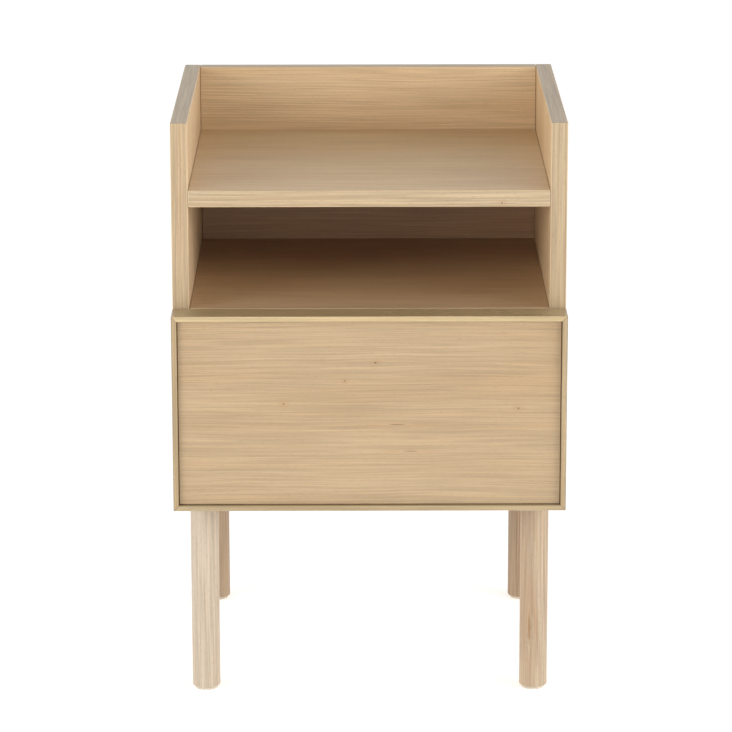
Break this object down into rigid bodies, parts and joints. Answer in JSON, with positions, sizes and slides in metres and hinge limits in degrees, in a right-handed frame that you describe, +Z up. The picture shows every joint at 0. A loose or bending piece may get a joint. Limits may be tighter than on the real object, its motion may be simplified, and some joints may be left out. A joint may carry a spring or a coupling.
{
  "type": "nightstand",
  "caption": "Oak bedside table with a tray top between raised sides and back, an open cubby, a framed handleless drawer on telescopic runners, and round legs.",
  "frame": {"origin": "on the floor under the middle of the whole object's box", "axes": "+Z up, the drawer front faces -Y and the drawer opens towards -Y, +X is to the right seen from the front"},
  "size_m": [0.4, 0.38, 0.604],
  "materials": {
    "oak_veneer": "clear satin lacquer on sliced oak veneer",
    "oak_front_veneer": "clear satin lacquer on sliced oak veneer, grain across the front",
    "oak_strip": "clear satin lacquer on solid oak",
    "oak_leg": "clear matt lacquer on turned solid oak",
    "birch_board": "thin clear lacquer on birch",
    "birch_ply": "thin clear lacquer on birch plywood",
    "beech_dowel": "raw beech, ribbed",
    "zinc_runner": "bright zinc plated sheet steel",
    "zinc_fastener": "zinc plated steel",
    "felt": "pressed felt",
    "bumper_rubber": "soft translucent rubber"
  },
  "bodies": {
    "case": {"back_panel": "oak_veneer", "bottom_panel": "oak_veneer", "bumper_left": "bumper_rubber", "bumper_right": "bumper_rubber", "cubby_floor": "oak_veneer", "dowel_back_left_1": "beech_dowel", "dowel_back_left_2": "beech_dowel", "dowel_back_right_1": "beech_dowel", "dowel_back_right_2": "beech_dowel", "dowel_bottom_left_1": "beech_dowel", "dowel_bottom_left_2": "beech_dowel", "dowel_bottom_right_1": "beech_dowel", "dowel_bottom_right_2": "beech_dowel", "dowel_cubby_floor_left_1": "beech_dowel", "dowel_cubby_floor_left_2": "beech_dowel", "dowel_cubby_floor_right_1": "beech_dowel", "dowel_cubby_floor_right_2": "beech_dowel", "dowel_shelf_left_1": "beech_dowel", "dowel_shelf_left_2": "beech_dowel", "dowel_shelf_right_1": "beech_dowel", "dowel_shelf_right_2": "beech_dowel", "felt_glide_front_left": "felt", "felt_glide_front_right": "felt", "felt_glide_rear_left": "felt", "felt_glide_rear_right": "felt", "hanger_bolt_front_left": "zinc_fastener", "hanger_bolt_front_right": "zinc_fastener", "hanger_bolt_rear_left": "zinc_fastener", "hanger_bolt_rear_right": "zinc_fastener", "leg_front_left": "oak_leg", "leg_front_right": "oak_leg", "leg_rear_left": "oak_leg", "leg_rear_right": "oak_leg", "runner_outer_left": "zinc_runner", "runner_outer_right": "zinc_runner", "side_panel_left": "oak_veneer", "side_panel_right": "oak_veneer", "threaded_insert_front_left": "zinc_fastener", "threaded_insert_front_right": "zinc_fastener", "threaded_insert_rear_left": "zinc_fastener", "threaded_insert_rear_right": "zinc_fastener", "tray_shelf": "oak_veneer"},
    "drawer": {"drawer_front_panel": "oak_front_veneer", "drawer_side_left": "birch_board", "drawer_side_right": "birch_board", "drawer_box_front": "birch_board", "drawer_box_back": "birch_board", "drawer_bottom": "birch_ply", "runner_inner_left": "zinc_runner", "runner_inner_right": "zinc_runner", "front_screw_1": "zinc_fastener", "front_screw_2": "zinc_fastener", "front_screw_3": "zinc_fastener", "front_screw_4": "zinc_fastener", "front_strip_bottom": "oak_strip", "front_strip_left": "oak_strip", "front_strip_right": "oak_strip", "front_strip_top": "oak_strip"},
    "runner_middle_left": {"runner_middle_left": "zinc_runner"},
    "runner_middle_right": {"runner_middle_right": "zinc_runner"}
  },
  "joints": [
    {"name": "drawer_slide", "type": "slide", "parent": "case", "child": "drawer", "axis": [0, -1, 0], "range_m": [0, 0.28]},
    {"name": "runner_left_slide", "type": "slide", "parent": "case", "child": "runner_middle_left", "axis": [0, -1, 0], "range_m": [0, 0.14]},
    {"name": "runner_right_slide", "type": "slide", "parent": "case", "child": "runner_middle_right", "axis": [0, -1, 0], "range_m": [0, 0.14]}
  ],
  "couplings": [
    {"joint": "runner_left_slide", "follows": "drawer_slide", "ratio": 0.5},
    {"joint": "runner_right_slide", "follows": "drawer_slide", "ratio": 0.5}
  ]
}
